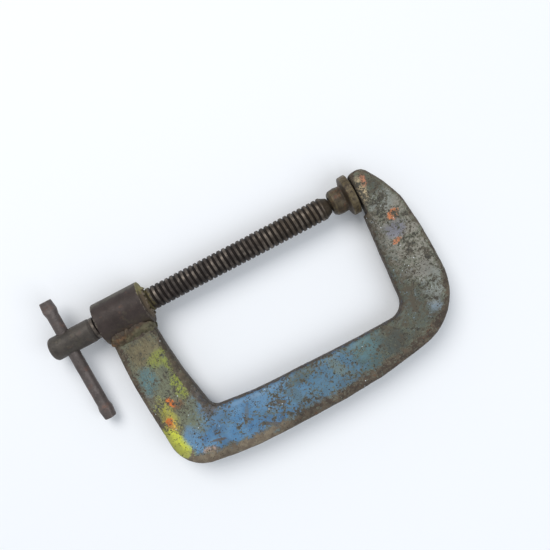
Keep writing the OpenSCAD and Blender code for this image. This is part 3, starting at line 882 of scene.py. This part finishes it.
def build_weld(name, node, start, end, half, tilt, thin, fade, material, seed):
    """A lumpy bead laid from start to end. half is half its width and half its height, tilt turns it in
    degrees, thin takes its height down towards the arm and fade takes it down towards its end."""
    start, end = np.array(start, float), np.array(end, float)
    length = np.linalg.norm(end - start)
    along = (end - start) / length
    side = np.cross(along, (0, 0, 1.0) if abs(along[2]) < 0.5 else (1.0, 0, 0))
    side /= np.linalg.norm(side)
    up = np.cross(side, along)
    turn = math.radians(tilt)
    side, up = side * math.cos(turn) - up * math.sin(turn), side * math.sin(turn) + up * math.cos(turn)
    rows, cols = int(length / 0.45) + 1, 56
    s = np.linspace(0, length, rows)[:, None]
    angle = np.linspace(0, 2 * math.pi, cols, endpoint=False)[None, :]
    from_end = np.minimum(s, length - s)
    close = np.sqrt(np.clip(1 - np.clip(1 - from_end / max(half), 0, 1) ** 2, 0.0004, 1))
    lag = s + 1.6 * np.cos(angle) + 0.9 * np.sin(s * 0.7 + seed)
    ripple = np.abs(np.sin(lag * math.pi / 3.1)) ** 0.8
    swell = 1 + 0.10 * np.sin(s * 0.33 + seed * 2.1) + 0.07 * np.sin(s * 0.81 + seed)
    r = close * swell * (0.93 + 0.10 * ripple)
    drift = 0.5 * np.sin(s * 0.21 + seed) + 0.3 * np.sin(s * 0.6 + seed * 3)
    lower = (1 - thin * smoothstep(np.cos(angle), -0.4, 1)) * (1 - fade * smoothstep(s / length, 0.35, 0.8))
    grid = (start + s[..., None] * along + (r * np.cos(angle) * half[0] + drift)[..., None] * side
            + (r * np.sin(angle) * half[1] * lower)[..., None] * up)
    piece = surface(name, grid)
    roughen(piece, [(6, 1.0, 2, seed), (2.9, 0.34, 2, seed + 1), (1.1, 0.08, 1, seed + 2)])
    store(piece.data, "out", convexity(piece.data))
    shade(piece, 60)
    finish(piece, "frame", "weld_steel", material, node)


def build_bar():
    """The sliding bar, with an end swaged and flattened at each end so that it can't fall out."""
    near, far = BAR_SHORT - SWAGE_LEN, -BAR_LONG + SWAGE_LEN
    profile = rounded([(-BAR_LONG, ON_AXIS, 0), (-BAR_LONG, TIP_R, 0.8), (far - 2.5, SWAGE_R, 6.0),
                       (far + 2.5, BAR_R, 8.0), (near - 2.5, BAR_R, 8.0), (near + 2.5, SWAGE_R, 6.0),
                       (BAR_SHORT, TIP_R, 0.8), (BAR_SHORT, ON_AXIS, 0)], 0.6)
    piece = lathe("tommy_bar_forged", profile, 56)
    points = read(piece.data)
    along, height = points[:, 0], points[:, 2]
    ends = np.maximum(smoothstep(along, far + 2, far - 6), smoothstep(along, near - 2, near + 6))
    limit = SWAGE_R + (SWAGE_HALF - SWAGE_R) * ends
    pressed = np.sign(height) * (limit + 0.15 * (np.abs(height) - limit))
    points[:, 2] = np.where(np.abs(height) > limit, pressed, height)
    write(piece.data, points)
    points, normals = read(piece.data), read(piece.data, "normal")
    free = 1 - 0.75 * smoothstep(np.abs(points[:, 0]), HEAD_R + 4, HEAD_R)
    move = 0.11 * field(points, 16, 2, 81) + 0.05 * field(points, 3.5, 2, 82)
    move -= 0.30 * dimples(points, 7, 83) * (field(points, 12, 1, 84) > 0.05)
    points = points + normals * (np.minimum(move - 0.05, 0.06) * free)[:, None]
    turn = np.array(Vector((1, 0, 0)).rotation_difference(BAR_AXIS).to_matrix())
    write(piece.data, points @ turn.T + np.array([HOLE_X, 0, 0]))
    store(piece.data, "out", convexity(piece.data))
    shade(piece, 50)
    material = old_steel("bar_steel_patina", srgb(98, 89, 86), srgb(130, 121, 116), roughness=(0.44, 0.60),
                         metallic=0.4, rust=0.35, worn=(0.08, 0.22), seed=85)
    finish(piece, "tommy_bar", "bar_steel", material, "tommy_bar")


def build_pad():
    """The swivel pad: a flange with a flat face, a hub and a crimped mouth round the screw's ball."""
    face, back = PAD_HIGH.x, PAD_LOW.x
    socket_r = BALL_R + SOCKET_GAP
    mouth = BALL_X - math.sqrt(socket_r ** 2 - MOUTH_R ** 2)
    turn = np.linspace(math.pi - math.asin(MOUTH_R / socket_r), 0, 26)
    socket = np.stack([BALL_X + socket_r * np.cos(turn), socket_r * np.sin(turn)], 1)
    outside = rounded([(face, ON_AXIS, 0), (face, PAD_HIGH.z, 0.9), (face - FLANGE_LEN, PAD_HIGH.z, 1.5),
                       (face - 9.2, 11.8, 1.3), (BALL_X - 1.0, HUB_R, 3.0), (back + 2.6, 11.9, 1.6),
                       (back, HUB_BACK_R, 1.0), (back, 7.2, 0.6), (mouth, MOUTH_R + 0.05, 0)], 0.6)
    profile = np.vstack([outside, socket])
    profile[-1, 1] = ON_AXIS
    piece = lathe("swivel_pad_forged", profile, 80)
    points, normals = read(piece.data), read(piece.data, "normal")
    radius = np.hypot(points[:, 1], points[:, 2])
    skin = smoothstep(radius, 8.6, 10) * smoothstep(face - points[:, 0], 0.1, 1.5)
    move = 0.28 * field(points, 11, 2, 91) + 0.10 * field(points, 3.2, 2, 92)
    move -= 0.55 * dimples(points, 9, 93) * (field(points, 10, 1, 94) > -0.1)
    write(piece.data, points + normals * (np.minimum(move - 0.1, 0.0) * skin)[:, None])
    store(piece.data, "out", convexity(piece.data))
    shade(piece, 50)
    material = old_steel("pad_steel_patina", srgb(58, 46, 31), srgb(102, 89, 62), roughness=(0.44, 0.60),
                         metallic=0.3, rust=0.5, worn=(0.03, 0.11), seed=95)
    finish(piece, "pad", "pad_steel", material, "swivel_pad")


build_frame()
build_boss()
WELD = weld_material()
MIDDLE_X = (BOSS_LOW.x + BOSS_HIGH.x) / 2
WELD_INSET = 5.2
for name, node, side, seed in (("weld_bead_top", "weld_top", UPPER, 101),
                               ("weld_bead_bottom", "weld_bottom", LOWER, 105)):
    build_weld(name, node, (MIDDLE_X - 19.0, -19.9, side * 11.2), (MIDDLE_X + 21.0, -21.2, side * 10.6),
               half=(7.3, 3.0), tilt=side * 24, thin=0.65, fade=0.45, material=WELD, seed=seed)
for name, node, x, seed in (("weld_bead_outer", "weld_outer", BOSS_LOW.x + WELD_INSET, 111),
                            ("weld_bead_inner", "weld_inner", BOSS_HIGH.x - WELD_INSET, 115)):
    build_weld(name, node, (x, -20.0, -10.5), (x, -20.0, 10.5), half=(4.0, 3.1), tilt=0, thin=0, fade=0,
               material=WELD, seed=seed)
build_screw()
build_bar()
build_pad()


# ---------------------------------------------------------------- floor, light and camera

FLOOR_Z = CAD_BOX[0].z
bpy.ops.mesh.primitive_plane_add(size=6, location=(CAD_BOX[0].x * 0.4, CAD_BOX[0].y * 0.3, FLOOR_Z))
floor = bpy.context.object
floor.name = "floor"
paper = Finish("pale_floor")
paper_colour = paper.mix(paper.noise(900, 2, 1), (0.87, 0.885, 0.92, 1), (0.91, 0.92, 0.94, 1))
floor.data.materials.append(paper.done(paper_colour, 0.7, 0.0, []))

world = bpy.data.worlds.new("soft_room")
bpy.context.scene.world = world
world.use_nodes = True
glow = world.node_tree.nodes["Background"].inputs
glow["Color"].default_value = (0.90, 0.95, 1.0, 1)
glow["Strength"].default_value = 0.52

TARGET = Vector((-0.0985, -0.033, FLOOR_Z))
CAMERA_PLACE = (-0.09855, -0.0328, 0.630)
TURN = math.radians(-27.7)


def area_light(name, across, up, height, size, power, colour):
    """A soft light, placed across and up in the picture's directions from the camera's axis."""
    data = bpy.data.lights.new(name, "AREA")
    data.shape, data.size, data.energy, data.color = "DISK", size, power, colour
    lamp = bpy.data.objects.new(name, data)
    bpy.context.scene.collection.objects.link(lamp)
    offset = Vector((across, up, height))
    offset.rotate(Matrix.Rotation(TURN, 3, "Z"))
    lamp.location = TARGET + offset
    lamp.rotation_euler = (-offset).to_track_quat("-Z", "Y").to_euler()


area_light("key", -1.3, 1.4, 2.7, 2.2, 60, (1.0, 0.985, 0.96))
area_light("fill", 1.7, -0.7, 2.4, 2.4, 26, (0.93, 0.97, 1.0))

camera_data = bpy.data.cameras.new("camera")
camera = bpy.data.objects.new("camera", camera_data)
bpy.context.scene.collection.objects.link(camera)
camera.location = CAMERA_PLACE
camera.rotation_euler = (0, 0, TURN)
camera_data.sensor_width = 36
camera_data.lens = 45.8
camera_data.clip_start = 0.02
bpy.context.scene.camera = camera
bpy.context.scene.view_settings.view_transform = "Standard"
